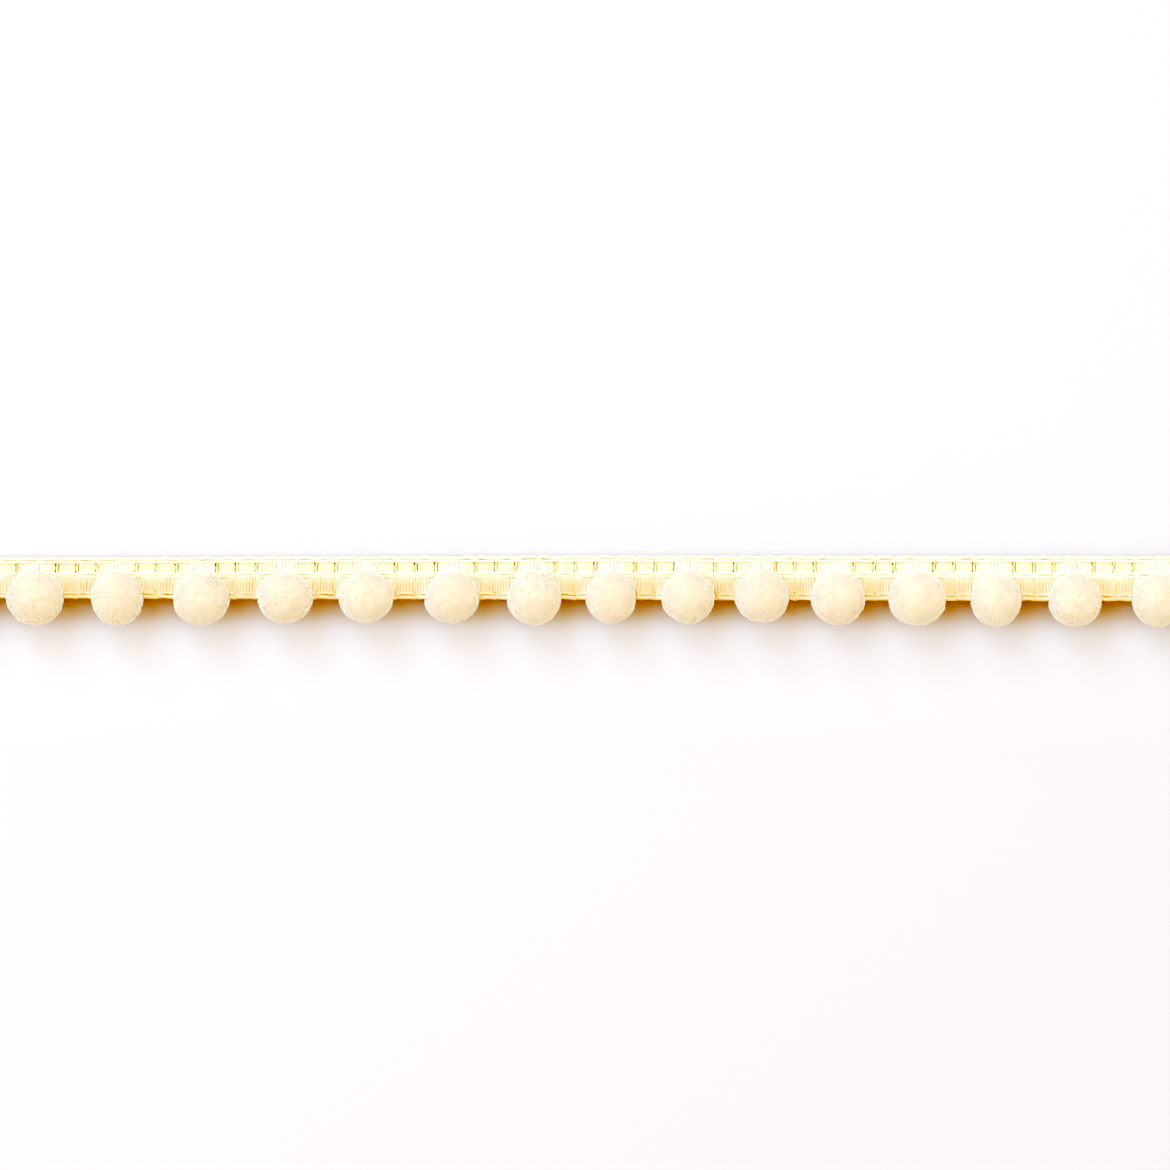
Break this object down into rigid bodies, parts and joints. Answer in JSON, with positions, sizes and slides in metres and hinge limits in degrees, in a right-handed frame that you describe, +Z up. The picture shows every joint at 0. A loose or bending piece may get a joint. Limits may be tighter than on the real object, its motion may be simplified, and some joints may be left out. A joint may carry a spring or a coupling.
{
  "type": "pompom fringe trim",
  "caption": "Narrow cream knitted heading tape carrying an even row of small round cut-pile pompoms along its lower edge, lying flat.",
  "frame": {"origin": "on the table, under the middle of the whole trim's bounding box", "axes": "+X along the trim, from its left end to its right end; +Y across it, from the pompoms to the tape's upper edge; +Z up from the table"},
  "size_m": [0.138, 0.0071, 0.0051],
  "materials": {
    "heading_yarn": "soft matt knitted cotton yarn in cream",
    "pompom_yarn": "dense cut pile in warm cream, velvety and slightly fuzzy"
  },
  "bodies": {
    "root": {"heading_tape": "heading_yarn", "pompom_01": "pompom_yarn", "pompom_02": "pompom_yarn", "pompom_03": "pompom_yarn", "pompom_04": "pompom_yarn", "pompom_05": "pompom_yarn", "pompom_06": "pompom_yarn", "pompom_07": "pompom_yarn", "pompom_08": "pompom_yarn", "pompom_09": "pompom_yarn", "pompom_10": "pompom_yarn", "pompom_11": "pompom_yarn", "pompom_12": "pompom_yarn", "pompom_13": "pompom_yarn", "pompom_14": "pompom_yarn", "pompom_15": "pompom_yarn", "pompom_16": "pompom_yarn", "pompom_17": "pompom_yarn"}
  },
  "joints": []
}
